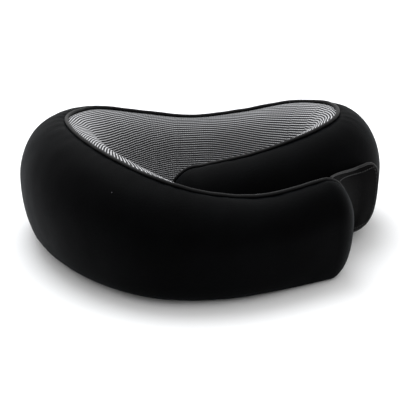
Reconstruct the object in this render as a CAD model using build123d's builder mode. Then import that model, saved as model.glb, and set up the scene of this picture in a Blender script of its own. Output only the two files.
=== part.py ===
from build123d import *
from math import asin, cos, degrees, hypot, radians, sin
import os

os.makedirs("parts", exist_ok=True)

# ---------------------------------------------------------------- driving dimensions (mm)
COVER_WALL = 2.0        # cover fabric, stretched over the foam
FOAM_INSET = 2.7        # foam skin below the outside of the cover
MESH_WALL = 1.8         # spacer mesh of the inner face
PIPING_R = 1.5          # piping cord with its fabric
PIPING_PROUD = 0.3      # cord centre outside the cover surface
SEAM_ROOM = 2.7         # space left for the cord beside each panel edge
TIP_LENGTH = 24.0       # how far each rounded arm tip runs past its last section
TIP_CENTRE_N = -0.35    # tip nose, as a share of the half width towards the inner face
TIP_CENTRE_Z = 0.5      # tip nose, as a share of the crest height
PANEL_TIP_TURN = 74.0   # how far round the nose the fabric panels run (degrees)
LOWER_SEAM = 225.0      # profile angle of the lower piping
RIGHT_FLEX = 3.5        # station where the right arm bends
LEFT_FLEX = 10.6        # station where the left arm bends
FLEX_GAP = 0.014        # half of the gap at a bending line, in stations
CORD_GAP = 0.026        # the same for the piping cords

# Stations along the spiral, from the inner (right) arm tip to the outer (left) arm tip:
# x, y, half width, crest height, height of widest point, half of flat base, piping share
STATIONS = [
    (-6.0, -21.0, 28.0, 67.0, 42.0, 9.0, -0.15),
    (36.0, -25.0, 30.0, 77.0, 44.0, 10.0, -0.15),
    (80.0, -13.0, 33.0, 87.0, 46.0, 13.0, -0.12),
    (109.0, 15.0, 32.5, 92.0, 48.0, 16.0, -0.10),
    (110.0, 53.0, 28.5, 91.0, 48.0, 17.0, -0.05),
    (82.0, 83.0, 25.0, 84.0, 46.0, 17.0, 0.0),
    (41.0, 96.0, 23.0, 73.5, 43.0, 16.0, 0.0),
    (-1.0, 99.0, 23.0, 69.0, 41.0, 16.0, 0.0),
    (-44.0, 97.0, 25.0, 75.5, 43.0, 16.0, -0.05),
    (-84.0, 80.0, 29.0, 86.5, 45.0, 17.0, -0.12),
    (-108.0, 43.0, 34.0, 91.0, 48.0, 17.0, -0.10),
    (-103.0, -6.0, 37.0, 93.0, 49.0, 16.0, -0.10),
    (-79.0, -55.0, 38.0, 90.5, 46.0, 14.0, -0.10),
    (-44.0, -88.0, 36.5, 83.0, 42.5, 12.0, -0.10),
    (-4.0, -96.0, 33.0, 73.5, 41.0, 12.0, -0.10),
    (36.0, -89.5, 28.0, 69.0, 42.0, 11.0, -0.10),
    (79.0, -76.0, 23.0, 74.0, 45.0, 10.0, -0.10),
]
LAST = len(STATIONS) - 1


# ---------------------------------------------------------------- shape of the pillow
def row_at(u):
    """Section values at place u on the spiral (whole numbers are the stations)."""
    i = max(0, min(int(u), LAST - 1))
    t = u - i
    near = [STATIONS[max(0, min(LAST, i + k))] for k in (-1, 0, 1, 2)]
    return [
        b + 0.5 * t * (c - a + t * (2 * a - 5 * b + 4 * c - d + t * (3 * b - a - 3 * c + d)))
        for a, b, c, d in zip(*near)
    ]


def plane_at(u, turn=0.0, tip=TIP_LENGTH):
    """Section plane: X points outwards, Y up. turn carries it round the nose of a tip."""
    x, y = row_at(u)[:2]
    before = row_at(max(0.0, u - 0.02))
    after = row_at(min(float(LAST), u + 0.02))
    length = hypot(after[0] - before[0], after[1] - before[1])
    tx = (after[0] - before[0]) / length
    ty = (after[1] - before[1]) / length
    ahead = tip * sin(radians(turn)) * (-1 if u < LAST / 2 else 1)
    return Plane(origin=(x + tx * ahead, y + ty * ahead, 0), x_dir=(ty, -tx, 0), z_dir=(-tx, -ty, 0))


def profile(u, angle, inset=0.0, turn=0.0):
    """Point of the section outline. 0 is outermost, 90 the crest, 180 innermost, 270 the base."""
    half, crest, wide, flat = row_at(u)[2:6]
    c = cos(radians(angle))
    s = sin(radians(angle))
    if 0 <= angle <= 180:
        n = (half - inset) * c
        z = wide + (crest - wide - inset) * s
    else:
        side = 1 if c > 0.0 or angle < 0 else -1
        n = side * flat + (half - flat - inset) * c
        z = wide + (wide - inset) * s
    k = cos(radians(turn))
    nc = TIP_CENTRE_N * half
    zc = TIP_CENTRE_Z * crest
    return nc * (1 - k) + n * k, zc + (z - zc) * k


def upper_seam(u):
    """Profile angle of the upper piping."""
    return 90.0 + degrees(asin(-row_at(u)[6]))


def seam_room(u, angle, turn=0.0):
    """Profile angle taken by the cord on one side of a seam."""
    half, crest, wide, flat = row_at(u)[2:6]
    if angle <= 180:
        run = hypot(half * sin(radians(angle)), (crest - wide) * cos(radians(angle)))
    else:
        run = hypot((half - flat) * sin(radians(angle)), wide * cos(radians(angle)))
    return degrees(SEAM_ROOM / (run * cos(radians(turn))))


def steps(first, last, count):
    """Evenly spaced numbers, both ends kept."""
    return [first + (last - first) * i / (count - 1) for i in range(count)]


# The stretches of the spiral that become solids, as (place, turn round the tip)
TIP_TURNS = (14.0, 28.0, 40.0, 52.0, 64.0, PANEL_TIP_TURN)
RIGHT_TURNS = [(0.0, turn) for turn in reversed(TIP_TURNS)]
LEFT_TURNS = [(float(LAST), turn) for turn in TIP_TURNS]
STRETCHES = {
    "right": RIGHT_TURNS + [(u, 0.0) for u in steps(0.0, RIGHT_FLEX - FLEX_GAP, 15)],
    "back": [(u, 0.0) for u in steps(RIGHT_FLEX + FLEX_GAP, LEFT_FLEX - FLEX_GAP, 29)],
    "left": [(u, 0.0) for u in steps(LEFT_FLEX + FLEX_GAP, float(LAST), 23)] + LEFT_TURNS,
}

# ---------------------------------------------------------------- foam, cover and mesh
for side, places in STRETCHES.items():
    # memory foam core
    with BuildPart() as foam:
        for u, turn in places:
            shell = [profile(u, a, FOAM_INSET, turn) for a in steps(-90.0, 270.0, 25)]
            with BuildSketch(plane_at(u, turn, TIP_LENGTH - FOAM_INSET)):
                with BuildLine():
                    Spline(*shell)
                    Line(shell[-1], shell[0])
                make_face()
        loft(ruled=True)
    foam.part.label = "foam_core_" + side
    export_step(foam.part, "parts/foam_core_" + side + ".step")

    # stretch cover: over the crest, down the outside, across the base to the lower seam
    with BuildPart() as cover:
        for u, turn in places:
            top = upper_seam(u) - seam_room(u, upper_seam(u), turn)
            low = LOWER_SEAM + seam_room(u, LOWER_SEAM, turn)
            over = steps(top, -90.0, 13)
            under = steps(270.0, low, 5)
            a1 = [profile(u, a, 0.0, turn) for a in over]
            a2 = [profile(u, a, 0.0, turn) for a in under]
            b1 = [profile(u, a, COVER_WALL, turn) for a in over]
            b2 = [profile(u, a, COVER_WALL, turn) for a in under]
            with BuildSketch(plane_at(u, turn)):
                with BuildLine():
                    Spline(*a1)
                    Line(a1[-1], a2[0])
                    Spline(*a2)
                    Line(a2[-1], b2[-1])
                    Spline(*reversed(b2))
                    Line(b2[0], b1[-1])
                    Spline(*reversed(b1))
                    Line(b1[0], a1[0])
                make_face()
        loft(ruled=True)
    cover.part.label = "outer_cover_" + side
    export_step(cover.part, "parts/outer_cover_" + side + ".step")

    # striped spacer mesh of the inner face
    with BuildPart() as mesh:
        for u, turn in places:
            top = upper_seam(u) + seam_room(u, upper_seam(u), turn)
            low = LOWER_SEAM - seam_room(u, LOWER_SEAM, turn)
            face = steps(top, low, 11)
            a1 = [profile(u, a, 0.0, turn) for a in face]
            b1 = [profile(u, a, MESH_WALL, turn) for a in face]
            with BuildSketch(plane_at(u, turn)):
                with BuildLine():
                    Spline(*a1)
                    Line(a1[-1], b1[-1])
                    Spline(*reversed(b1))
                    Line(b1[0], a1[0])
                make_face()
        loft(ruled=True)
    mesh.part.label = "mesh_panel_" + side
    export_step(mesh.part, "parts/mesh_panel_" + side + ".step")

# ---------------------------------------------------------------- piping around the mesh face
SEAM_STEP = 0.5         # stations between the points of a piping route
NOSE_TURNS = (20.0, 40.0, 58.0, 76.0)


def seam_point(u, angle, turn=0.0):
    """Centre of the piping cord on the outside of the seam."""
    n, z = profile(u, angle, -PIPING_PROUD, turn)
    return plane_at(u, turn, TIP_LENGTH + PIPING_PROUD).from_local_coords((n, z, 0))


def seam_run(places):
    """Upper route out to the nose of an arm, then the lower route back."""
    tip = places[-1]
    upper = [seam_point(u, upper_seam(u)) for u in places]
    upper += [seam_point(tip, upper_seam(tip), turn) for turn in NOSE_TURNS]
    lower = [seam_point(tip, LOWER_SEAM, turn) for turn in reversed(NOSE_TURNS)]
    lower += [seam_point(u, LOWER_SEAM) for u in reversed(places)]
    return upper + [seam_point(tip, LOWER_SEAM, 90.0)] + lower


RIGHT_PLACES = [RIGHT_FLEX - CORD_GAP] + [SEAM_STEP * i for i in range(6, -1, -1)]
LEFT_PLACES = [LEFT_FLEX + CORD_GAP] + [SEAM_STEP * i for i in range(22, 2 * LAST + 1)]
BACK_PLACES = [RIGHT_FLEX + CORD_GAP] + [SEAM_STEP * i for i in range(8, 22)] + [LEFT_FLEX - CORD_GAP]
PIPING_ROUTES = {
    "piping_right": seam_run(RIGHT_PLACES),
    "piping_left": seam_run(LEFT_PLACES),
    "piping_back_upper": [seam_point(u, upper_seam(u)) for u in BACK_PLACES],
    "piping_back_lower": [seam_point(u, LOWER_SEAM) for u in BACK_PLACES],
}

for name, points in PIPING_ROUTES.items():
    with BuildPart() as piping:
        with BuildLine() as route:
            Spline(*points)
        with BuildSketch(Plane(origin=route.line @ 0, z_dir=route.line % 0)):
            Circle(PIPING_R)
        sweep()
    piping.part.label = name
    export_step(piping.part, "parts/" + name + ".step")

# ---------------------------------------------------------------- closure on the right arm
LOOP_LIFT = (0.5, 1.2)       # loop patch, sewn on the outer face of the right arm
HOOK_LIFT = (2.0, 2.8)       # hook patch under the tab
TAB_LIFT = (3.3, 4.9)        # tab
LOOP_U = (1.45, 2.66)        # where each lies along the right arm
HOOK_U = (2.22, 2.66)
TAB_U = (1.99, 2.74)
LOOP_Z = (16.0, 61.0)        # lowest and highest edge of each
HOOK_Z = (19.0, 60.0)
TAB_Z = (12.0, 66.0)
TAB_ROOT_LIFT = 14.5         # extra lift of the tab where it is sewn to the left arm's nose
TAB_LAND_U = 2.38            # from here the tab lies on the right arm
TAB_CORNER = 12.0            # rounding of its free corners
TAB_CORNER_U = 0.20          # the same rounding, in stations


def outer_point(u, z, lift):
    """Point of the outer face at height z, lifted outwards."""
    half, crest, wide, flat = row_at(u)[2:6]
    if z > wide:
        n = half * (1 - ((z - wide) / (crest - wide)) ** 2) ** 0.5
    else:
        n = flat + (half - flat) * (1 - ((wide - z) / wide) ** 2) ** 0.5
    return n + lift, z


def tab_rise(u):
    """How far the tab stands off the arm between the left nose and its landing."""
    t = max(0.0, (TAB_LAND_U - u) / (TAB_LAND_U - TAB_U[0]))
    return TAB_ROOT_LIFT * t ** 1.5


def corner(u):
    """How much each free corner of the tab is cut back at place u."""
    t = max(0.0, (u - TAB_U[1] + TAB_CORNER_U) / TAB_CORNER_U)
    return TAB_CORNER * (1 - (1 - min(t, 0.97) ** 2) ** 0.5)


def patch_section(u, low, high, lift):
    """Closed outline of a thin sheet on the outer face between two heights."""
    heights = steps(low, high, 7)
    under = [outer_point(u, z, lift[0]) for z in heights]
    over = [outer_point(u, z, lift[1]) for z in heights]
    Spline(*under)
    Line(under[-1], over[-1])
    Spline(*reversed(over))
    Line(over[0], under[0])


with BuildPart() as loop_patch:
    for u in steps(LOOP_U[0], LOOP_U[1], 6):
        with BuildSketch(plane_at(u)):
            with BuildLine():
                patch_section(u, LOOP_Z[0], LOOP_Z[1], LOOP_LIFT)
            make_face()
    loft(ruled=True)
loop_patch.part.label = "loop_patch"
export_step(loop_patch.part, "parts/loop_patch.step")

with BuildPart() as hook_patch:
    for u in steps(HOOK_U[0], HOOK_U[1], 5):
        rise = tab_rise(u)
        with BuildSketch(plane_at(u)):
            with BuildLine():
                patch_section(u, HOOK_Z[0], HOOK_Z[1], (HOOK_LIFT[0] + rise, HOOK_LIFT[1] + rise))
            make_face()
    loft(ruled=True)
hook_patch.part.label = "hook_patch"
export_step(hook_patch.part, "parts/hook_patch.step")

TAB_STEPS = steps(TAB_U[0], TAB_U[1] - TAB_CORNER_U, 8) + [2.60, 2.655, 2.70, 2.73, TAB_U[1]]
with BuildPart() as closure_tab:
    for u in TAB_STEPS:
        rise = tab_rise(u)
        cut = corner(u)
        with BuildSketch(plane_at(u)):
            with BuildLine():
                patch_section(u, TAB_Z[0] + cut, TAB_Z[1] - cut, (TAB_LIFT[0] + rise, TAB_LIFT[1] + rise))
            make_face()
    loft(ruled=True)
closure_tab.part.label = "closure_tab"
export_step(closure_tab.part, "parts/closure_tab.step")

# ---------------------------------------------------------------- zip low on the back
ZIP_CENTRE = (-8.0, -239.0)  # centre of the arc that the zip follows
ZIP_R = 363.1                # radius of the inside of its tapes
ZIP_Z = 22.0                 # height of the teeth
ZIP_FROM = 80.5              # ends of the zip, as angles about the centre
ZIP_TO = 99.5
TAPE_WIDTH = 9.0
TAPE_WALL = 0.7
COIL_WIDTH = 1.5
COIL_WALL = 1.8


def arc_strip(inner, wall, first, last):
    """Outline in plan of a curved strip, drawn about the centre of the zip."""
    near_arc = CenterArc((0, 0), inner, first, last - first)
    far_arc = CenterArc((0, 0), inner + wall, first, last - first)
    Line(near_arc @ 0, far_arc @ 0)
    Line(near_arc @ 1, far_arc @ 1)


def zip_plane(z):
    """Level plane with the centre of the zip's arc as its origin."""
    return Plane(origin=(ZIP_CENTRE[0], ZIP_CENTRE[1], z))


ZIP_STRIPS = {
    "zip_tape_upper": (ZIP_Z + COIL_WIDTH + 0.2, TAPE_WIDTH, ZIP_R, TAPE_WALL, ZIP_FROM, ZIP_TO),
    "zip_tape_lower": (ZIP_Z - COIL_WIDTH - 0.2 - TAPE_WIDTH, TAPE_WIDTH, ZIP_R, TAPE_WALL, ZIP_FROM, ZIP_TO),
    "zip_coil_upper": (ZIP_Z + 0.1, COIL_WIDTH, ZIP_R, COIL_WALL, ZIP_FROM + 0.6, ZIP_TO - 0.6),
    "zip_coil_lower": (ZIP_Z - 0.1 - COIL_WIDTH, COIL_WIDTH, ZIP_R, COIL_WALL, ZIP_FROM + 0.6, ZIP_TO - 0.6),
    "zip_stop_right": (ZIP_Z - 1.6, 3.2, ZIP_R, COIL_WALL, ZIP_FROM + 0.1, ZIP_FROM + 0.55),
    "zip_stop_left": (ZIP_Z - 1.6, 3.2, ZIP_R, COIL_WALL, ZIP_TO - 0.55, ZIP_TO - 0.1),
}
for name, (z, height, inner, wall, first, last) in ZIP_STRIPS.items():
    with BuildPart() as strip:
        with BuildSketch(zip_plane(z)):
            with BuildLine():
                arc_strip(inner, wall, first, last)
            make_face()
        extrude(amount=height)
    strip.part.label = name
    export_step(strip.part, "parts/" + name + ".step")

# slider: a channel that rides over the coils, with two lugs and the pin for the pull
SLIDER_ANGLE = ZIP_FROM + 1.5
SLIDER_TURN = 0.8            # half of its length, as an angle
SLIDER_HEIGHT = 8.0
SLIDER_IN = TAPE_WALL + 0.3  # its lips, above the tapes
SLIDER_OUT = COIL_WALL + 1.6
CHANNEL_HEIGHT = 2 * COIL_WIDTH + 0.8
PIN_R = 0.8
PIN_OUT = SLIDER_OUT + 2.3   # pin centre, outside the inside of the tapes
LUG_R = 1.7
LUG_Z = (1.6, 2.8)
EYE_HEIGHT = 2.8
PULL_LENGTH = 24.0
PULL_HEIGHT = 6.5
PULL_WALL = 1.2


def slider_face(out):
    """Plane facing outwards at the slider, X along the zip and Y up."""
    a = radians(SLIDER_ANGLE)
    r = ZIP_R + out
    place = (ZIP_CENTRE[0] + r * cos(a), ZIP_CENTRE[1] + r * sin(a), ZIP_Z)
    return Plane(origin=place, x_dir=(-sin(a), cos(a), 0), z_dir=(cos(a), sin(a), 0))


def pin_plane(z):
    """Level plane with the pull's pin as its origin."""
    pin = slider_face(PIN_OUT)
    return Plane(origin=(pin.origin.X, pin.origin.Y, ZIP_Z + z), x_dir=pin.x_dir, z_dir=(0, 0, 1))


with BuildPart() as zip_slider:
    with BuildSketch(zip_plane(ZIP_Z - SLIDER_HEIGHT / 2)):
        with BuildLine():
            arc_strip(
                ZIP_R + SLIDER_IN,
                SLIDER_OUT - SLIDER_IN,
                SLIDER_ANGLE - SLIDER_TURN,
                SLIDER_ANGLE + SLIDER_TURN,
            )
        make_face()
    extrude(amount=SLIDER_HEIGHT)
    fillet(zip_slider.edges().filter_by(Axis.Z), 0.8)
    with BuildSketch(zip_plane(ZIP_Z - CHANNEL_HEIGHT / 2)):
        with BuildLine():
            arc_strip(
                ZIP_R,
                COIL_WALL + 0.3,
                SLIDER_ANGLE - 2 * SLIDER_TURN,
                SLIDER_ANGLE + 2 * SLIDER_TURN,
            )
        make_face()
    extrude(amount=CHANNEL_HEIGHT, mode=Mode.SUBTRACT)
    for low in (LUG_Z[0], -LUG_Z[1]):
        with BuildSketch(pin_plane(low)):
            Circle(LUG_R)
            with Locations((0, (PIN_OUT - SLIDER_OUT) / 2)):
                Rectangle(2 * LUG_R, PIN_OUT - SLIDER_OUT + 0.4)
        extrude(amount=LUG_Z[1] - LUG_Z[0])
    with BuildSketch(pin_plane(-LUG_Z[1])):
        Circle(PIN_R)
    extrude(amount=2 * LUG_Z[1])
zip_slider.part.label = "zip_slider"
export_step(zip_slider.part, "parts/zip_slider.step")

with BuildPart() as zip_pull:
    with BuildSketch(slider_face(PIN_OUT)):
        with Locations((3.6, 0)):
            Rectangle(4.4, EYE_HEIGHT)
        with Locations((5.0 + (PULL_LENGTH - 5.0) / 2, 0)):
            RectangleRounded(PULL_LENGTH - 5.0, PULL_HEIGHT, 2.0)
        with Locations((PULL_LENGTH - 4.5, 0)):
            SlotOverall(5.0, 2.4, rotation=90, mode=Mode.SUBTRACT)
    extrude(amount=PULL_WALL / 2, both=True)
    with BuildSketch(pin_plane(-EYE_HEIGHT / 2)):
        Circle(2 * PIN_R + 0.3)
    extrude(amount=EYE_HEIGHT)
    with BuildSketch(pin_plane(-EYE_HEIGHT / 2)):
        Circle(PIN_R + 0.25)
    extrude(amount=EYE_HEIGHT, mode=Mode.SUBTRACT)
zip_pull.part.label = "zip_pull"
export_step(zip_pull.part, "parts/zip_pull.step")

# ---------------------------------------------------------------- blank care label
LABEL_U = (8.05, 8.5)
LABEL_Z = (36.0, 56.0)
LABEL_LIFT = (0.3, 0.8)
with BuildPart() as care_label:
    for u in steps(LABEL_U[0], LABEL_U[1], 4):
        with BuildSketch(plane_at(u)):
            with BuildLine():
                patch_section(u, LABEL_Z[0], LABEL_Z[1], LABEL_LIFT)
            make_face()
    loft(ruled=True)
care_label.part.label = "care_label"
export_step(care_label.part, "parts/care_label.step")
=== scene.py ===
"""Wrap-around travel neck pillow: the looks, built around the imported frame. Metres, +Z up, -Y front."""

import math

import bmesh
import bpy
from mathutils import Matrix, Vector, noise


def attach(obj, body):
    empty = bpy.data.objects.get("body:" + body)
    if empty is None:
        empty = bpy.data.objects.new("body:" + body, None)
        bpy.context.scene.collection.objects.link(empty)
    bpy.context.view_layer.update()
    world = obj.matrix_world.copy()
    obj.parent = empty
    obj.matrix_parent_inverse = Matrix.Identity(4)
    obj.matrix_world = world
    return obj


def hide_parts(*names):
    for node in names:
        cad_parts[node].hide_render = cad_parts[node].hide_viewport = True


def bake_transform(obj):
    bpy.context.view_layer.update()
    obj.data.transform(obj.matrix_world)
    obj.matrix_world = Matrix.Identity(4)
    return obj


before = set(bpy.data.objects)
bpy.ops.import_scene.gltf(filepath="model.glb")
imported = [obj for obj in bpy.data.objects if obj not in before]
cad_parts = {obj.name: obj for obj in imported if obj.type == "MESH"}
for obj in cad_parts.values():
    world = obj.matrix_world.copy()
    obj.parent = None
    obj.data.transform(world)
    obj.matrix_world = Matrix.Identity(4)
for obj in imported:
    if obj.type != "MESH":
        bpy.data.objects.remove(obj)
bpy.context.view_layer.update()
MM = 0.001

# ---------------------------------------------------------------- sizes (mm, as the frame has them)
# Stations along the spiral, from the inner (right) arm tip to the outer (left) arm tip:
# x, y, half width, crest height, height of widest point, half of flat base, piping share
STATIONS = [
    (-6.0, -21.0, 28.0, 67.0, 42.0, 9.0, -0.15),
    (36.0, -25.0, 30.0, 77.0, 44.0, 10.0, -0.15),
    (80.0, -13.0, 33.0, 87.0, 46.0, 13.0, -0.12),
    (109.0, 15.0, 32.5, 92.0, 48.0, 16.0, -0.10),
    (110.0, 53.0, 28.5, 91.0, 48.0, 17.0, -0.05),
    (82.0, 83.0, 25.0, 84.0, 46.0, 17.0, 0.0),
    (41.0, 96.0, 23.0, 73.5, 43.0, 16.0, 0.0),
    (-1.0, 99.0, 23.0, 69.0, 41.0, 16.0, 0.0),
    (-44.0, 97.0, 25.0, 75.5, 43.0, 16.0, -0.05),
    (-84.0, 80.0, 29.0, 86.5, 45.0, 17.0, -0.12),
    (-108.0, 43.0, 34.0, 91.0, 48.0, 17.0, -0.10),
    (-103.0, -6.0, 37.0, 93.0, 49.0, 16.0, -0.10),
    (-79.0, -55.0, 38.0, 90.5, 46.0, 14.0, -0.10),
    (-44.0, -88.0, 36.5, 83.0, 42.5, 12.0, -0.10),
    (-4.0, -96.0, 33.0, 73.5, 41.0, 12.0, -0.10),
    (36.0, -89.5, 28.0, 69.0, 42.0, 11.0, -0.10),
    (79.0, -76.0, 23.0, 74.0, 45.0, 10.0, -0.10),
]
LAST = len(STATIONS) - 1
MIDDLE = 7.0            # station at the nape, where the two halves of the cover meet
TIP_LENGTH = 24.0
TIP_STATIONS = 0.6      # the rounded tips, counted in stations
TIP_CENTRE_N = -0.35    # where a tip shrinks to, as shares of its half width and crest height
TIP_CENTRE_Z = 0.5
LOWER_SEAM = 225.0      # place of the lower seam on the section's outline, in degrees
PIPING_R = 1.55
RIB_PITCH = 1.9         # ribs of the spacer mesh
CROSS_PITCH = 1.8       # its cross yarns


# ---------------------------------------------------------------- shape of the ring
def row_at(u):
    """Section values at place u on the spiral (whole numbers are the stations)."""
    i = max(0, min(int(u), LAST - 1))
    t = u - i
    near = [STATIONS[max(0, min(LAST, i + k))] for k in (-1, 0, 1, 2)]
    return [
        b + 0.5 * t * (c - a + t * (2 * a - 5 * b + 4 * c - d + t * (3 * b - a - 3 * c + d)))
        for a, b, c, d in zip(*near)
    ]


def place_on(p):
    """Splits a place that may run past either end into a station and a turn round the nose."""
    if p < 0.0:
        return 0.0, min(90.0, -90.0 * p / TIP_STATIONS)
    if p > LAST:
        return float(LAST), min(90.0, 90.0 * (p - LAST) / TIP_STATIONS)
    return p, 0.0


class Section:
    """One upright section of the ring: its plane, its values and how far it has shrunk at a tip."""

    def __init__(self, p, tip=TIP_LENGTH):
        self.u, self.turn = place_on(p)
        row = row_at(self.u)
        before = row_at(max(0.0, self.u - 0.02))
        after = row_at(min(float(LAST), self.u + 0.02))
        run = math.hypot(after[0] - before[0], after[1] - before[1])
        self.along = Vector(((after[0] - before[0]) / run, (after[1] - before[1]) / run, 0.0))
        self.out = Vector((self.along.y, -self.along.x, 0.0))
        ahead = tip * math.sin(math.radians(self.turn)) * (-1 if self.u < LAST / 2 else 1)
        self.origin = Vector((row[0], row[1], 0.0)) + self.along * ahead
        self.half, self.crest, self.wide, self.flat = row[2:6]
        self.k = math.cos(math.radians(self.turn))
        self.upper = 90.0 + math.degrees(math.asin(-row[6]))

    def flat_point(self, angle, inset=0.0):
        """Outline point (n, z): 0 is outermost, 90 the crest, 180 innermost, 270 the base."""
        c = math.cos(math.radians(angle))
        s = math.sin(math.radians(angle))
        if 0.0 <= angle <= 180.0:
            n = (self.half - inset) * c
            z = self.wide + (self.crest - self.wide - inset) * s
        else:
            side = 1 if (c > 0.0 or angle < 0.0) else -1
            n = side * self.flat + (self.half - self.flat - inset) * c
            z = self.wide + (self.wide - inset) * s
        nc = TIP_CENTRE_N * self.half
        zc = TIP_CENTRE_Z * self.crest
        return nc * (1 - self.k) + n * self.k, zc + (z - zc) * self.k

    def world(self, n, z):
        """Point of the section plane in millimetres."""
        return self.origin + self.out * n + Vector((0.0, 0.0, z))

    def point(self, angle):
        """Point of the outline in millimetres."""
        return self.world(*self.flat_point(angle))


def smooth(t):
    """Soft step from 0 to 1."""
    t = max(0.0, min(1.0, t))
    return t * t * (3.0 - 2.0 * t)


def mix(a, b, t):
    """Value a share t of the way from a to b."""
    return a + (b - a) * t


# ---------------------------------------------------------------- mesh helpers
SHARP = math.radians(50.0)


def new_piece(name, bm, material, smooth_shade=True):
    """Turns a finished bmesh, in millimetres, into a piece of the scene."""
    bmesh.ops.scale(bm, vec=(MM, MM, MM), verts=bm.verts)
    bmesh.ops.remove_doubles(bm, verts=bm.verts, dist=2e-6)
    bmesh.ops.dissolve_degenerate(bm, dist=1e-6, edges=bm.edges)
    bmesh.ops.recalc_face_normals(bm, faces=bm.faces)
    for edge in bm.edges:
        edge.smooth = not edge.is_manifold or edge.calc_face_angle() < SHARP
    for face in bm.faces:
        face.smooth = smooth_shade
    mesh = bpy.data.meshes.new(name)
    bm.to_mesh(mesh)
    bm.free()
    mesh.materials.append(material)
    piece = bpy.data.objects.new(name, mesh)
    bpy.context.scene.collection.objects.link(piece)
    return piece


def carried_grid(columns, rows, carry, uv_at):
    """Flat grid with a UV map in metres, each vertex then carried to its place.

    carry(i, j) gives the point in millimetres of column i and row j, uv_at(i, j) its cloth place.
    """
    bm = bmesh.new()
    bmesh.ops.create_grid(bm, x_segments=columns, y_segments=rows, size=0.5)
    layer = bm.loops.layers.uv.new("Cloth")
    index = {v: (round((v.co.x + 0.5) * columns), round((v.co.y + 0.5) * rows)) for v in bm.verts}
    for face in bm.faces:
        for loop in face.loops:
            x, y = uv_at(*index[loop.vert])
            loop[layer].uv = (x * MM, y * MM)
    for vert, (i, j) in index.items():
        vert.co = carry(i, j)
    return bm


def give_wall(bm, wall):
    """Gives an open cloth sheet its thickness, inwards."""
    bmesh.ops.remove_doubles(bm, verts=bm.verts, dist=0.01)
    bmesh.ops.recalc_face_normals(bm, faces=bm.faces)
    bmesh.ops.solidify(bm, geom=bm.faces[:], thickness=wall)


def give_wall_facing(bm, out, wall):
    """Turns an open sheet to face a direction, then gives it its thickness behind."""
    bmesh.ops.recalc_face_normals(bm, faces=bm.faces)
    if bm.faces[0].normal.dot(out) < 0:
        bmesh.ops.reverse_faces(bm, faces=bm.faces)
    bmesh.ops.solidify(bm, geom=bm.faces[:], thickness=wall)


def fill_ends(bm):
    """Closes the open ends of a tube or core."""
    bmesh.ops.remove_doubles(bm, verts=bm.verts, dist=0.01)
    bmesh.ops.holes_fill(bm, edges=[e for e in bm.edges if e.is_boundary], sides=0)


def runs_of(points):
    """Running length along a list of points."""
    runs = [0.0]
    for a, b in zip(points, points[1:]):
        runs.append(runs[-1] + (b - a).length)
    return runs


def tube(name, points, outs, radius, material, sides=10):
    """Round cord along points; outs is an outward direction at each, which its section is set out from."""
    count = len(points) - 1
    runs = runs_of(points)

    def carry(i, j):
        along = (points[min(count, i + 1)] - points[max(0, i - 1)]).normalized()
        out = (outs[i] - along * outs[i].dot(along)).normalized()
        side = along.cross(out)
        turn = 2.0 * math.pi * j / sides
        return points[i] + out * (radius * math.cos(turn)) + side * (radius * math.sin(turn))

    bm = carried_grid(count, sides, carry, lambda i, j: (runs[i], j * 2.0 * math.pi * radius / sides))
    fill_ends(bm)
    return new_piece(name, bm, material)


def stitch_run(name, points, outs, length, gap, radius, material):
    """Row of stitches: a small rounded bar every length plus gap along the points."""
    bm = bmesh.new()
    travelled = 0.0
    target = length / 2
    for a, b, out in zip(points, points[1:], outs):
        step = (b - a).length
        while step > 0.0 and travelled + step >= target:
            centre = a.lerp(b, (target - travelled) / step)
            along = (b - a).normalized()
            side = out.cross(along).normalized()
            up = along.cross(side)
            made = bmesh.ops.create_uvsphere(bm, u_segments=6, v_segments=5, radius=1.0)
            for vert in made["verts"]:
                x, y, z = vert.co
                vert.co = centre + along * (z * length / 2) + side * (x * radius) + up * (y * radius * 0.7)
            target += length + gap
        travelled += step
    return new_piece(name, bm, material)


# ---------------------------------------------------------------- materials
def node_material(name):
    material = bpy.data.materials.new(name)
    material.use_nodes = True
    nodes = material.node_tree.nodes
    shader = nodes["Principled BSDF"]
    return material, nodes, material.node_tree.links, shader


def add(nodes, kind, **values):
    """New node; keys name its properties, or its inputs when they start with an underscore."""
    node = nodes.new(kind)
    for key, value in values.items():
        if key.startswith("_"):
            node.inputs[key[1:].replace("_", " ")].default_value = value
        else:
            setattr(node, key, value)
    return node


def ramp(nodes, stops):
    node = nodes.new("ShaderNodeValToRGB")
    node.color_ramp.elements[0].position = stops[0][0]
    node.color_ramp.elements[0].color = (*stops[0][1], 1.0)
    node.color_ramp.elements[1].position = stops[-1][0]
    node.color_ramp.elements[1].color = (*stops[-1][1], 1.0)
    for position, colour in stops[1:-1]:
        element = node.color_ramp.elements.new(position)
        element.color = (*colour, 1.0)
    return node


def remap(nodes, links, source, spans, curve="LINEAR"):
    """Carries a value from one span to another; spans is (from low, from high, to low, to high)."""
    node = add(nodes, "ShaderNodeMapRange", interpolation_type=curve)
    for key, value in zip(("From Min", "From Max", "To Min", "To Max"), spans):
        node.inputs[key].default_value = value
    links.new(source, node.inputs["Value"])
    return node.outputs["Result"]


def reckon(nodes, links, operation, *values):
    """Sum worked out by a node; each value is a number or another node's output."""
    node = add(nodes, "ShaderNodeMath", operation=operation)
    for socket, value in zip(node.inputs, values):
        if isinstance(value, float):
            socket.default_value = value
        else:
            links.new(value, socket)
    return node.outputs[0]


def grain_of(nodes, links, scale, detail, roughness=0.5):
    """Cloudy noise that stays put on the piece."""
    place = add(nodes, "ShaderNodeTexCoord")
    grain = add(nodes, "ShaderNodeTexNoise", _Scale=scale, _Detail=detail, _Roughness=roughness)
    links.new(place.outputs["Object"], grain.inputs["Vector"])
    return grain.outputs["Fac"]


def shade(nodes, links, factor, stops):
    """Colour picked along a ramp by a value."""
    colour = ramp(nodes, stops)
    links.new(factor, colour.inputs["Fac"])
    return colour.outputs["Color"]


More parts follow.
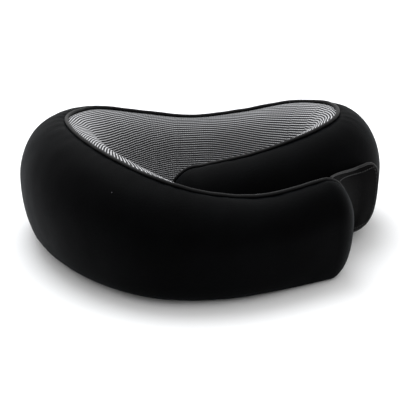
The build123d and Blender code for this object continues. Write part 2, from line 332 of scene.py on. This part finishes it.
def laid_over(nodes, links, under, factor, colour):
    """One plain colour laid over another by a share."""
    mixed = add(nodes, "ShaderNodeMix", data_type="RGBA")
    mixed.inputs["B"].default_value = (*colour, 1.0)
    links.new(factor, mixed.inputs["Factor"])
    links.new(under, mixed.inputs["A"])
    return mixed.outputs["Result"]


def roughen(nodes, links, shader, height, strength, distance):
    """Fine relief, too small to model."""
    bump = add(nodes, "ShaderNodeBump", _Strength=strength, _Distance=distance)
    links.new(height, bump.inputs["Height"])
    links.new(bump.outputs["Normal"], shader.inputs["Normal"])


def set_finish(shader, rough, specular, sheen=0.0, sheen_rough=0.5):
    shader.inputs["Roughness"].default_value = rough
    shader.inputs["Specular IOR Level"].default_value = specular
    shader.inputs["Sheen Weight"].default_value = sheen
    shader.inputs["Sheen Roughness"].default_value = sheen_rough


def lint_specks(nodes, links):
    """1 on a few small specks scattered over the cloth, 0 elsewhere."""
    place = add(nodes, "ShaderNodeTexCoord")
    cells = add(nodes, "ShaderNodeTexVoronoi", feature="F1", _Scale=95.0)
    links.new(place.outputs["Object"], cells.inputs["Vector"])
    draw = add(nodes, "ShaderNodeSeparateColor")
    links.new(cells.outputs["Color"], draw.inputs["Color"])
    near = reckon(nodes, links, "LESS_THAN", cells.outputs["Distance"], 0.035)
    few = reckon(nodes, links, "GREATER_THAN", draw.outputs["Red"], 0.86)
    return reckon(nodes, links, "MULTIPLY", near, few)


def cover_knit():
    """Matte black stretch knit: fine loops, soft nap, slight colour drift and a few specks of lint."""
    material, nodes, links, shader = node_material("cover_knit")
    drift = grain_of(nodes, links, 28.0, 3.0, 0.55)
    cloth = shade(nodes, links, drift, [(0.3, (0.0004, 0.0004, 0.0005)), (0.7, (0.0010, 0.0011, 0.0013))])
    speckled = laid_over(nodes, links, cloth, lint_specks(nodes, links), (0.07, 0.07, 0.073))
    links.new(speckled, shader.inputs["Base Color"])
    set_finish(shader, rough=0.55, specular=0.018, sheen=0.014, sheen_rough=0.35)
    shader.inputs["Sheen Tint"].default_value = (0.62, 0.80, 1.0, 1.0)
    knit = grain_of(nodes, links, 2600.0, 2.0)
    nap = grain_of(nodes, links, 520.0, 3.0)
    loops = reckon(nodes, links, "MULTIPLY_ADD", knit, 0.6, nap)
    roughen(nodes, links, shader, loops, strength=0.35, distance=0.00035)
    return material


def spacer_mesh():
    """Striped spacer mesh: pale ribs over a black ground, with thin cross yarns, and painted shade
    darkening it round the nape.
    """
    material, nodes, links, shader = node_material("spacer_mesh")
    cloth = add(nodes, "ShaderNodeUVMap", uv_map="Cloth")
    split = add(nodes, "ShaderNodeSeparateXYZ")
    links.new(cloth.outputs["UV"], split.inputs["Vector"])
    along, across = split.outputs["X"], split.outputs["Y"]

    def wave(run, pitch):
        turns = reckon(nodes, links, "MULTIPLY", run, 2.0 * math.pi / (pitch * MM))
        return reckon(nodes, links, "COSINE", turns)

    crest = remap(nodes, links, wave(across, RIB_PITCH), (-1.0, 1.0, 0.0, 1.0))
    ribs = shade(nodes, links, crest, [
        (0.60, (0.001, 0.001, 0.0011)),
        (0.72, (0.20, 0.20, 0.205)),
        (0.86, (0.64, 0.64, 0.655)),
    ])
    yarns = remap(nodes, links, wave(along, CROSS_PITCH), (0.1, 0.95, 0.0, 0.55))
    crossed = laid_over(nodes, links, ribs, yarns, (0.02, 0.02, 0.022))
    # Painted shade: round the nape, deep in the neck hollow, the mesh is darkened partway towards black.
    nape_shade = remap(nodes, links, along, (0.015, 0.105, 0.35, 0.0), "SMOOTHSTEP")
    shaded_nape = laid_over(nodes, links, crossed, nape_shade, (0.008, 0.008, 0.009))
    links.new(shaded_nape, shader.inputs["Base Color"])
    set_finish(shader, rough=0.6, specular=0.25)
    roughen(nodes, links, shader, grain_of(nodes, links, 2200.0, 2.0), strength=0.3, distance=0.0003)
    return material


def plain_cloth(name, dark, light, scale, depth, rough, sheen, specular):
    """Noise-textured cloth or pile between two shades."""
    material, nodes, links, shader = node_material(name)
    grain = grain_of(nodes, links, scale, 4.0, 0.65)
    links.new(shade(nodes, links, grain, [(0.32, dark), (0.68, light)]), shader.inputs["Base Color"])
    set_finish(shader, rough, specular, sheen, 0.4)
    roughen(nodes, links, shader, grain, strength=0.8, distance=depth)
    return material


BANDS_PER_UNIT = 0.314  # scale at which a wave's bands lie one unit apart


def woven(name, dark, light, pitch, rough, specular):
    """Close weave drawn by two crossing waves on Object coordinates."""
    material, nodes, links, shader = node_material(name)
    place = add(nodes, "ShaderNodeTexCoord")
    waves = []
    for direction in ("X", "Z"):
        wave = add(nodes, "ShaderNodeTexWave", wave_type="BANDS", bands_direction=direction)
        wave.inputs["Scale"].default_value = BANDS_PER_UNIT / (pitch * MM)
        links.new(place.outputs["Object"], wave.inputs["Vector"])
        waves.append(wave.outputs["Fac"])
    weave = reckon(nodes, links, "MULTIPLY", *waves)
    links.new(shade(nodes, links, weave, [(0.0, dark), (1.0, light)]), shader.inputs["Base Color"])
    set_finish(shader, rough, specular)
    roughen(nodes, links, shader, weave, strength=0.6, distance=0.0002)
    return material


def enamel():
    """Black enamel on the zip's metal, worn a little where it is handled."""
    material, nodes, links, shader = node_material("black_enamel")
    wear = grain_of(nodes, links, 420.0, 4.0)
    colour = shade(nodes, links, wear, [
        (0.0, (0.008, 0.008, 0.009)),
        (0.66, (0.014, 0.014, 0.015)),
        (0.8, (0.06, 0.06, 0.06)),
    ])
    links.new(colour, shader.inputs["Base Color"])
    links.new(remap(nodes, links, wear, (0.0, 1.0, 0.22, 0.42)), shader.inputs["Roughness"])
    shader.inputs["Metallic"].default_value = 0.35
    return material


COVER = cover_knit()
MESH = spacer_mesh()
CORD = plain_cloth(
    "piping_satin", (0.0012, 0.0012, 0.0013), (0.0040, 0.0040, 0.0044),
    scale=1500.0, depth=0.0002, rough=0.45, sheen=0.01, specular=0.12,
)
TAB = plain_cloth(
    "tab_pile", (0.0003, 0.0003, 0.0003), (0.0024, 0.0024, 0.0026),
    scale=900.0, depth=0.0007, rough=0.8, sheen=0.005, specular=0.025,
)
LOOP = plain_cloth(
    "loop_pile", (0.0008, 0.0008, 0.0009), (0.0050, 0.0050, 0.0053),
    scale=1300.0, depth=0.0006, rough=0.85, sheen=0.01, specular=0.05,
)
HOOK = plain_cloth(
    "hook_tape", (0.002, 0.002, 0.002), (0.016, 0.016, 0.017),
    scale=1900.0, depth=0.0005, rough=0.4, sheen=0.0, specular=0.3,
)
BINDING = plain_cloth(
    "edge_binding", (0.0015, 0.0015, 0.0017), (0.006, 0.006, 0.0065),
    scale=1700.0, depth=0.0002, rough=0.5, sheen=0.012, specular=0.16,
)
THREAD = plain_cloth(
    "thread", (0.008, 0.008, 0.0085), (0.020, 0.020, 0.021),
    scale=2500.0, depth=0.0001, rough=0.45, sheen=0.03, specular=0.3,
)
FOAM = plain_cloth(
    "memory_foam", (0.66, 0.58, 0.42), (0.80, 0.73, 0.57),
    scale=700.0, depth=0.0006, rough=0.9, sheen=0.0, specular=0.2,
)
TAPE = woven(
    "zip_tape", (0.0008, 0.0008, 0.0008), (0.0045, 0.0045, 0.005),
    pitch=0.9, rough=0.7, specular=0.06,
)
NYLON = plain_cloth(
    "coil_nylon", (0.004, 0.004, 0.0043), (0.012, 0.012, 0.0125),
    scale=1200.0, depth=0.0001, rough=0.3, sheen=0.0, specular=0.4,
)
LABEL = woven(
    "label_satin", (0.40, 0.40, 0.39), (0.56, 0.56, 0.55),
    pitch=0.5, rough=0.45, specular=0.4,
)
METAL = enamel()


# ---------------------------------------------------------------- cloth laid on the ring
CLOTH_WALL = 1.2
SHOULDER = 7.0          # mm from a seam over which the cloth rises out of it
SEAM_DIP = 1.2
SEAM_HOLD = 3.0         # mm from a seam over which the stitching holds the cloth to its line
BASE_HOLD = 6.0         # height under which the cloth is pressed flat towards the floor
FLOOR_CLEAR = 0.02


def seam_dip(distance):
    """How far the cloth is drawn in near a seam."""
    return SEAM_DIP * (1.0 - smooth(distance / SHOULDER)) ** 1.5


def cover_drift(point, seam_distance, along):
    """Slight unevenness of stretched cloth over foam, with puckers beside the piping."""
    broad = noise.noise(point * 0.017 + Vector((3.1, 0.0, 7.7)))
    small = noise.noise(point * 0.055 + Vector((0.0, 9.2, 1.3)))
    phase = along * 0.36 + 3.4 * noise.noise(point * 0.03)
    strength = 0.5 + 0.5 * noise.noise(point * 0.04 + Vector((5.0, 2.0, 0.0)))
    pucker = math.sin(phase) * strength * math.exp(-seam_distance / 9.0)
    return 1.2 * broad + 0.30 * small + 0.42 * pucker


def outline_point(section, angle):
    """Outline point for any angle; those under -90 lie on the inner half of the base."""
    return section.flat_point(angle if angle >= -90.0 else 360.0 + angle)


def outline_normal(section, angle):
    """Outward direction, in the section plane, of the outline at an angle."""
    n0, z0 = outline_point(section, angle - 1.0)
    n1, z1 = outline_point(section, angle + 1.0)
    if (n1 - n0) ** 2 + (z1 - z0) ** 2 < 1e-9:
        return Vector((0.0, 0.0, 0.0))
    return (section.out * (z1 - z0) + Vector((0.0, 0.0, n0 - n1))).normalized()


def skin_point(section, angle, lift=0.0, seam_distance=60.0, along=0.0):
    """Place on the outside of the cover, with its unevenness, lifted outwards."""
    n, z = outline_point(section, angle)
    point = section.world(n, z)
    drift = cover_drift(point, seam_distance, along) * section.k * smooth(seam_distance / SEAM_HOLD)
    drift -= seam_dip(seam_distance) * min(1.0, section.k * 2.0)
    if z < BASE_HOLD:
        drift = min(drift, 0.0) * smooth(z / BASE_HOLD)
    point = point + outline_normal(section, angle) * (drift + lift)
    point.z = max(point.z, FLOOR_CLEAR)
    return point


def ring_sections(start, stop, columns, tip=TIP_LENGTH):
    """Evenly spaced sections between two places on the ring."""
    return [Section(mix(start, stop, i / columns), tip) for i in range(columns + 1)]


def build_cover(name, start, stop, columns, rows):
    """Cover of one half: from the upper seam over the outside and base to the lower seam."""
    sections = ring_sections(start, stop, columns)
    spine = runs_of([section.point(0.0) for section in sections])
    low = LOWER_SEAM - 360.0
    angles = [[mix(section.upper, low, j / rows) for j in range(rows + 1)] for section in sections]
    across = []
    for section, turns in zip(sections, angles):
        across.append(runs_of([section.world(*outline_point(section, turn)) for turn in turns]))

    def carry(i, j):
        seam_distance = min(across[i][j], across[i][-1] - across[i][j])
        return skin_point(sections[i], angles[i][j], 0.0, seam_distance, spine[i])

    bm = carried_grid(columns, rows, carry, lambda i, j: (spine[i], across[i][j]))
    give_wall(bm, CLOTH_WALL)
    return new_piece(name, bm, COVER)


RIB_DEPTH = 0.36
RIB_FALL = 0.20         # steepest slopes of the ribs against the ring
RIB_RISE = 0.55


def rib_climb(run):
    """Slope of the ribs against the ring, at a distance from the nape: down at first, then up the arm."""
    falling = smooth((run - 5.0) / 20.0) * (1.0 - smooth((run - 50.0) / 30.0))
    rising = smooth((run - 75.0) / 50.0) * (1.0 - smooth((run - 190.0) / 60.0))
    return RIB_RISE * rising - RIB_FALL * falling


def rib_spread(run):
    """How much closer together the ribs are counted as the cloth is drawn taut round the bend."""
    return 1.0 - 0.30 * smooth((run - 40.0) / 140.0)


def build_mesh_face(name, start, stop, columns, rows):
    """Striped inner face of one half. The cloth is cut straight, so the upper seam cuts across its ribs."""
    sections = ring_sections(start, stop, columns)
    spine = runs_of([section.point(180.0) for section in sections])
    angles = [[mix(section.upper, LOWER_SEAM, j / rows) for j in range(rows + 1)] for section in sections]
    heights = []
    ribs = []
    climb = 0.0
    for i, (section, turns) in enumerate(zip(sections, angles)):
        run = runs_of([section.point(turn) for turn in turns])
        middle = next(j for j, turn in enumerate(turns) if turn >= 180.0)
        heights.append([run[middle] - value for value in run])
        if i:
            climb += rib_climb(spine[i]) * (spine[i] - spine[i - 1])
        ribs.append([rib_spread(spine[i]) * height - climb for height in heights[i]])

    def carry(i, j):
        section = sections[i]
        point = section.point(angles[i][j])
        top = heights[i][0] - heights[i][j]
        bottom = heights[i][j] - heights[i][-1]
        held = smooth(min(top, bottom) / SEAM_HOLD)
        rib = RIB_DEPTH * 0.5 * math.cos(2.0 * math.pi * ribs[i][j] / RIB_PITCH)
        lift = (0.5 * noise.noise(point * 0.03) + rib) * section.k * held
        lift -= seam_dip(min(top, bottom)) * min(1.0, section.k * 2.0)
        return point + outline_normal(section, angles[i][j]) * lift

    bm = carried_grid(columns, rows, carry, lambda i, j: (spine[i], ribs[i][j]))
    give_wall(bm, CLOTH_WALL)
    return new_piece(name, bm, MESH)


FOAM_INSET = 3.2
FOAM_FLOOR = 2.0
FOAM_TIP_SHORTER = 2.0


def build_foam(name, start, stop, columns, rows):
    """Closed foam core of one half, just inside the cloth."""
    sections = ring_sections(start, stop, columns, TIP_LENGTH - FOAM_TIP_SHORTER)

    def carry(i, j):
        section = sections[i]
        n, z = section.flat_point(mix(-90.0, 270.0, j / rows), FOAM_INSET)
        return section.world(n, max(z, FOAM_FLOOR))

    bm = carried_grid(columns, rows, carry, lambda i, j: (i * 5.0, j * 5.0))
    fill_ends(bm)
    return new_piece(name, bm, FOAM)


cover_left = build_cover("cover_left_half", MIDDLE, LAST + TIP_STATIONS, 230, 84)
cover_right = build_cover("cover_right_half", MIDDLE, -TIP_STATIONS, 190, 84)
face_left = build_mesh_face("mesh_face_left_half", MIDDLE, LAST + TIP_STATIONS, 170, 230)
face_right = build_mesh_face("mesh_face_right_half", MIDDLE, -TIP_STATIONS, 140, 230)
foam_left = build_foam("foam_left_half", MIDDLE, LAST + TIP_STATIONS, 70, 40)
foam_right = build_foam("foam_right_half", MIDDLE, -TIP_STATIONS, 60, 40)


# ---------------------------------------------------------------- piping
def seam_place(p, angle, proud):
    """Point of the piping and its outward direction; angle None is the upper seam."""
    section = Section(p)
    turn = section.upper if angle is None else angle
    centre = section.world(TIP_CENTRE_N * section.half, TIP_CENTRE_Z * section.crest)
    point = section.point(turn)
    out = outline_normal(section, turn)
    if section.turn > 0.0:
        ahead = section.along * (-1 if section.u < LAST / 2 else 1)
        out = (out * section.k + ahead * math.sin(math.radians(section.turn))).normalized()
    wander = 0.35 * noise.noise(point * 0.09 + Vector((1.0, 4.0, 2.0)))
    return point + out * (proud + wander), out


def seam_loop(tip, proud, count=150):
    """Upper seam from the nape out to a tip's nose, then the lower seam back to the nape."""
    places = [mix(MIDDLE, tip, i / count) for i in range(count + 1)]
    upper = [seam_place(p, None, proud) for p in places]
    lower = [seam_place(p, LOWER_SEAM, proud) for p in reversed(places[:-1])]
    return [a for a, _ in upper + lower], [b for _, b in upper + lower]


CORD_PROUD = 0.15       # how far the middle of the piping stands out of the outline
piping_left = tube("piping_left_half", *seam_loop(LAST + TIP_STATIONS, CORD_PROUD), PIPING_R, CORD)
piping_right = tube("piping_right_half", *seam_loop(-TIP_STATIONS, CORD_PROUD), PIPING_R, CORD)

# ---------------------------------------------------------------- closure
TAB_U = (1.99, 2.74)    # stations of its root and its free end
TAB_Z = (12.0, 66.0)
TAB_MID_LIFT = 4.1      # from the right arm's outline to the middle of the tab
TAB_ROOT_LIFT = 14.5
TAB_LAND_U = 2.38       # station where it has come down on the right arm
TAB_CORNER = 12.0       # height of its rounded corners, and their length in stations
TAB_CORNER_U = 0.20
TAB_WALL = 1.6
TAB_PULL_END = 0.6      # share of its length over which its root is pulled to the tip's seam
TAB_EDGE = 4.0          # width over which it thickens from its edges
TAB_SWELL = 0.35
TAB_ROOT_RISE = 7.0     # how much higher its upper edge is where it is sewn to the tip
STITCH_LENGTH = 2.2
STITCH_GAP = 0.9


def outer_angle(section, z):
    """Profile angle of the outer face at height z."""
    if z >= section.wide:
        return math.degrees(math.asin(min(1.0, (z - section.wide) / (section.crest - section.wide))))
    return -math.degrees(math.asin(min(1.0, (section.wide - z) / section.wide)))


def tip_seam_at(z):
    """Point of the left arm's piping at height z, on the rounded tip."""
    whole = Section(float(LAST))
    centre = TIP_CENTRE_Z * whole.crest
    angle = whole.upper if z > centre else LOWER_SEAM
    reach = abs(whole.flat_point(angle)[1] - centre)
    turn = math.degrees(math.acos(min(1.0, abs(z - centre) / reach)))
    return seam_place(LAST + TIP_STATIONS * turn / 90.0, angle, 0.0)[0]


def tab_point(s, t):
    """Point of the tab: s from its sewn root to the free end, t from its lower to its upper edge."""
    z = mix(*TAB_Z, t)
    edge = min(z - TAB_Z[0], TAB_Z[1] - z)
    root_z = z + TAB_ROOT_RISE * t
    cut = max(0.0, 1.0 - edge / TAB_CORNER)
    end = TAB_U[1] - TAB_CORNER_U * (1.0 - math.sqrt(max(0.0, 1.0 - cut * cut)))
    u = mix(TAB_U[0], end, s)
    section = Section(u)
    n, _ = section.flat_point(outer_angle(section, z))
    rise = TAB_ROOT_LIFT * max(0.0, (TAB_LAND_U - u) / (TAB_LAND_U - TAB_U[0])) ** 2.0
    point = section.world(n + TAB_MID_LIFT + rise, z)
    first = Section(TAB_U[0])
    n, _ = first.flat_point(outer_angle(first, z))
    start = first.world(n + TAB_MID_LIFT + TAB_ROOT_LIFT, z)
    pull = tip_seam_at(root_z) - start
    return point + pull * (1.0 - smooth(s / TAB_PULL_END))


def tab_out(s, t):
    """Outward direction of the tab."""
    across = tab_point(s, min(1.0, t + 0.02)) - tab_point(s, max(0.0, t - 0.02))
    along = tab_point(min(1.0, s + 0.02), t) - tab_point(max(0.0, s - 0.02), t)
    return along.cross(across).normalized()


def build_tab():
    columns, rows = 44, 48

    def carry(i, j):
        s, t = i / columns, j / rows
        edge = min(t, 1.0 - t, 1.0 - s) * (TAB_Z[1] - TAB_Z[0])
        swell = TAB_SWELL * smooth(edge / TAB_EDGE) + 0.18 * noise.noise(tab_point(s, t) * 0.12)
        return tab_point(s, t) + tab_out(s, t) * (TAB_WALL / 2 + swell)

    bm = carried_grid(columns, rows, carry, lambda i, j: (i * 1.0, j * 1.1))
    give_wall_facing(bm, tab_out(0.1, 0.1), TAB_WALL)
    return new_piece("closure_tab_cloth", bm, TAB)


def tab_rim(inset, lift, count=40):
    """Path round the three free edges of the tab, inset from them by a share of its size."""
    path = [(mix(0.04, 1.0 - inset, i / count), 1.0 - inset) for i in range(count + 1)]
    path += [(1.0 - inset, mix(1.0 - inset, inset, i / count)) for i in range(1, count + 1)]
    path += [(mix(1.0 - inset, 0.04, i / count), inset) for i in range(1, count + 1)]
    outs = [tab_out(s, t) for s, t in path]
    return [tab_point(s, t) + out * lift for (s, t), out in zip(path, outs)], outs


tab = build_tab()
binding = tube("tab_bound_edge", *tab_rim(inset=0.0, lift=0.3), 1.15, BINDING, 8)
tab_stitches = stitch_run(
    "tab_stitches", *tab_rim(inset=0.075, lift=1.35), STITCH_LENGTH, STITCH_GAP, 0.28, THREAD
)


HOOK_S = (0.42, 0.88)   # shares of the tab's length and height that the hook patch covers
HOOK_T = (0.14, 0.87)
HOOK_WALL = 1.0
HOOK_CLEAR = 0.15


def build_hook_patch():
    columns, rows = 22, 36

    def carry(i, j):
        s, t = mix(*HOOK_S, i / columns), mix(*HOOK_T, j / rows)
        return tab_point(s, t) - tab_out(s, t) * (TAB_WALL / 2 + HOOK_CLEAR)

    bm = carried_grid(columns, rows, carry, lambda i, j: (i * 1.0, j * 1.1))
    bmesh.ops.recalc_face_normals(bm, faces=bm.faces)
    bmesh.ops.solidify(bm, geom=bm.faces[:], thickness=HOOK_WALL)
    return new_piece("hook_patch_tape", bm, HOOK)


hook_patch = build_hook_patch()


def sewn_sheet(name, ends, heights, lift, wall, material, columns=30, rows=24):
    """Thin sheet sewn flat on the outside of the cover between two stations and two heights."""
    sections = ring_sections(*ends, columns)

    def carry(i, j):
        section = sections[i]
        angle = outer_angle(section, mix(*heights, j / rows))
        return skin_point(section, angle, lift)

    bm = carried_grid(columns, rows, carry, lambda i, j: (i * 1.5, j * 1.5))
    give_wall_facing(bm, sections[0].out, wall)
    return new_piece(name, bm, material)


loop_patch = sewn_sheet(
    "loop_patch_pile", ends=(1.45, 2.66), heights=(16.0, 61.0), lift=1.2, wall=1.0, material=LOOP,
    columns=50, rows=40,
)
label = sewn_sheet(
    "care_label_ribbon", ends=(8.05, 8.5), heights=(36.0, 56.0), lift=0.7, wall=0.4, material=LABEL
)

# ---------------------------------------------------------------- zip
ZIP_CENTRE = Vector((-8.0, -239.0, 0.0))   # centre of the arc that the zip follows
ZIP_R = 363.1
ZIP_Z = 22.0
ZIP_FROM = 80.5         # degrees about that centre
ZIP_TO = 99.5
TAPE_WIDTH = 9.0
TAPE_GAP = 0.9          # from the middle of the zip to the edge of each tape
TAPE_WALL = 0.6
COIL_PITCH = 1.5
COIL_OUT = 1.15         # how far the middle of the coils stands off the arc
COIL_OFF = 0.65         # how far each coil lies from the middle of the zip
COIL_END = 0.65         # degrees left bare at each end
COIL_TOOTH = (0.52, 0.62, 0.95)


def zip_point(angle, out, z):
    a = math.radians(angle)
    return ZIP_CENTRE + Vector((math.cos(a), math.sin(a), 0.0)) * (ZIP_R + out) + Vector((0.0, 0.0, z))


def station_behind(angle):
    """Station of the ring whose outer face lies at an angle about the zip's centre."""
    low, high = 5.0, 9.0
    for _ in range(30):
        middle = (low + high) / 2
        point = Section(middle).point(-20.0) - ZIP_CENTRE
        if math.degrees(math.atan2(point.y, point.x)) < angle:
            low = middle
        else:
            high = middle
    return (low + high) / 2


def build_tape(name, side):
    """Zip tape: one edge at the teeth, the other sewn down on the cover."""
    columns, rows = 80, 8
    spots = [mix(ZIP_FROM, ZIP_TO, i / columns) for i in range(columns + 1)]
    sections = [Section(station_behind(angle)) for angle in spots]

    def carry(i, j):
        z = ZIP_Z + side * (TAPE_GAP + (TAPE_WIDTH + 0.8) * j / rows)
        raised = zip_point(spots[i], 0.5, z)
        sewn = skin_point(sections[i], outer_angle(sections[i], z), 0.75)
        return raised.lerp(sewn, smooth((j - 2) / (rows - 2)))

    bm = carried_grid(columns, rows, carry, lambda i, j: (i * 1.5, j * 1.2))
    give_wall_facing(bm, Vector((0.0, 1.0, 0.0)), TAPE_WALL)
    return new_piece(name, bm, TAPE)


def build_coil(name, side):
    """Half of the nylon coil: a rounded tooth every pitch, offset against the other half."""
    bm = bmesh.new()
    step = math.degrees(COIL_PITCH / ZIP_R)
    long, deep, tall = COIL_TOOTH
    angle = ZIP_FROM + COIL_END + (step / 2 if side > 0 else 0.0)
    while angle < ZIP_TO - COIL_END:
        centre = zip_point(angle, COIL_OUT, ZIP_Z + side * COIL_OFF)
        along = (zip_point(angle + step, COIL_OUT, 0.0) - zip_point(angle, COIL_OUT, 0.0)).normalized()
        out = Vector((along.y, -along.x, 0.0))
        made = bmesh.ops.create_uvsphere(bm, u_segments=8, v_segments=6, radius=1.0)
        for vert in made["verts"]:
            x, y, z = vert.co
            vert.co = centre + along * (x * long) + out * (y * deep) + Vector((0.0, 0.0, z * tall))
        angle += step
    return new_piece(name, bm, NYLON)


def tape_stitches(name, side):
    spots = [mix(ZIP_FROM + 0.2, ZIP_TO - 0.2, i / 60) for i in range(61)]
    points = []
    outs = []
    for angle in spots:
        section = Section(station_behind(angle))
        z = ZIP_Z + side * (TAPE_WIDTH + 0.2)
        turn = outer_angle(section, z)
        points.append(skin_point(section, turn, 0.85))
        outs.append(outline_normal(section, turn))
    return stitch_run(name, points, outs, STITCH_LENGTH, STITCH_GAP, 0.26, THREAD)


tapes = [build_tape("zip_tape_upper_cloth", 1.0), build_tape("zip_tape_lower_cloth", -1.0)]
coils = [build_coil("zip_coil_upper_teeth", 1.0), build_coil("zip_coil_lower_teeth", -1.0)]
zip_stitches = [tape_stitches("zip_stitches_upper", 1.0), tape_stitches("zip_stitches_lower", -1.0)]

# ---------------------------------------------------------------- camera, light and floor
CAMERA_AZIMUTH = -6.0
CAMERA_ELEVATION = 22.0
CAMERA_DISTANCE = 0.920
CAMERA_LENS = 104.4
SENSOR_WIDTH = 36.0
AIM = Vector((-0.0031, 0.007, 0.029))
FLOOR_HALF = 12000.0
STUDIO_DIM_TO_BRIGHT = (0.5, 1.3)
LAMP_PLACE = (-0.15, 0.35, 1.1)
LAMP_AIM = (0.0, 0.02, 0.04)
LAMP_SIZE = 0.9
LAMP_POWER = 9.0
LAMP_COLOUR = (0.93, 0.96, 1.0)


def add_camera():
    data = bpy.data.cameras.new("Camera")
    data.lens = CAMERA_LENS
    data.sensor_width = SENSOR_WIDTH
    data.clip_start = 0.01
    camera = bpy.data.objects.new("Camera", data)
    a = math.radians(CAMERA_AZIMUTH)
    e = math.radians(CAMERA_ELEVATION)
    towards_eye = Vector((math.sin(a) * math.cos(e), -math.cos(a) * math.cos(e), math.sin(e)))
    camera.location = AIM + CAMERA_DISTANCE * towards_eye
    camera.rotation_euler = (AIM - camera.location).to_track_quat("-Z", "Y").to_euler()
    bpy.context.scene.collection.objects.link(camera)
    bpy.context.scene.camera = camera


def add_lamp():
    """One broad, soft lamp above and a little behind."""
    data = bpy.data.lights.new("overhead", "AREA")
    data.shape = "DISK"
    data.size = LAMP_SIZE
    data.energy = LAMP_POWER
    data.color = LAMP_COLOUR
    lamp = bpy.data.objects.new("overhead", data)
    lamp.location = LAMP_PLACE
    lamp.rotation_euler = (Vector(LAMP_AIM) - Vector(LAMP_PLACE)).to_track_quat("-Z", "Y").to_euler()
    bpy.context.scene.collection.objects.link(lamp)


def add_floor():
    bm = bmesh.new()
    bmesh.ops.create_grid(bm, x_segments=1, y_segments=1, size=FLOOR_HALF)
    material, nodes, links, shader = node_material("pale_floor")
    shader.inputs["Base Color"].default_value = (0.93, 0.93, 0.93, 1.0)
    shader.inputs["Roughness"].default_value = 0.9
    shader.inputs["Specular IOR Level"].default_value = 0.1
    floor = new_piece("floor", bm, material, False)


def set_world():
    """White studio: bright above and behind, dim on the side of the camera."""
    world = bpy.data.worlds.new("Studio")
    bpy.context.scene.world = world
    world.use_nodes = True
    nodes = world.node_tree.nodes
    links = world.node_tree.links
    background = nodes["Background"]
    place = add(nodes, "ShaderNodeTexCoord")
    towards = add(nodes, "ShaderNodeVectorMath", operation="DOT_PRODUCT")
    towards.inputs[1].default_value = (0.0, 0.5, 0.87)
    links.new(place.outputs["Generated"], towards.inputs[0])
    spans = (-0.35, 0.9, *STUDIO_DIM_TO_BRIGHT)
    strength = remap(nodes, links, towards.outputs["Value"], spans, "SMOOTHSTEP")
    links.new(strength, background.inputs["Strength"])
    background.inputs["Color"].default_value = (1.0, 1.0, 1.0, 1.0)


add_camera()
set_world()
add_floor()
add_lamp()
bpy.context.scene.view_settings.view_transform = "Standard"

# ---------------------------------------------------------------- how the pieces sit on the frame
for name in ("zip_slider", "zip_pull", "zip_stop_left", "zip_stop_right"):
    for material_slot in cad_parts[name].material_slots:
        material_slot.material = METAL

# Each half, the arm and slot it belongs to, and the frame parts it replaces: it is baked where it stands
# and those parts are hidden.
HALVES = [
    (cover_left, "left_arm", "cover_fabric", ("outer_cover_left", "outer_cover_back")),
    (cover_right, "right_arm", "cover_fabric", ("outer_cover_right", "outer_cover_back")),
    (face_left, "left_arm", "spacer_mesh", ("mesh_panel_left", "mesh_panel_back")),
    (face_right, "right_arm", "spacer_mesh", ("mesh_panel_right", "mesh_panel_back")),
    (foam_left, "left_arm", "memory_foam", ("foam_core_left", "foam_core_back")),
    (foam_right, "right_arm", "memory_foam", ("foam_core_right", "foam_core_back")),
    (piping_left, "left_arm", "piping", ("piping_left", "piping_back_upper", "piping_back_lower")),
    (piping_right, "right_arm", "piping", ("piping_right", "piping_back_upper", "piping_back_lower")),
]
for piece, arm, slot_name, replaced in HALVES:
    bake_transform(piece)
    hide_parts(*replaced)

# Points of the tab's sewn root and of this share of its length, in metres.
TAB_BEND_END = 0.30
ROOT = tab_point(0.0, 0.5) * MM
LANDED = tab_point(TAB_BEND_END, 0.5) * MM
for piece in (tab, binding, tab_stitches):
    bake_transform(piece)
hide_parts("closure_tab")

RIDERS = [
    (hook_patch, "tab", "hook_tape", ("hook_patch",)),
    (loop_patch, "right_arm", "loop_pile", ("loop_patch",)),
    (label, "back", "label_satin", ("care_label",)),
    (tapes[0], "back", "zip_tape", ("zip_tape_upper",)),
    (tapes[1], "back", "zip_tape", ("zip_tape_lower",)),
    (coils[0], "back", "zip_coil", ("zip_coil_upper",)),
    (coils[1], "back", "zip_coil", ("zip_coil_lower",)),
    (zip_stitches[0], "back", "zip_tape", ()),
    (zip_stitches[1], "back", "zip_tape", ()),
]
for piece, body, slot_name, replaced in RIDERS:
    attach(piece, body)
    if replaced:
        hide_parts(*replaced)
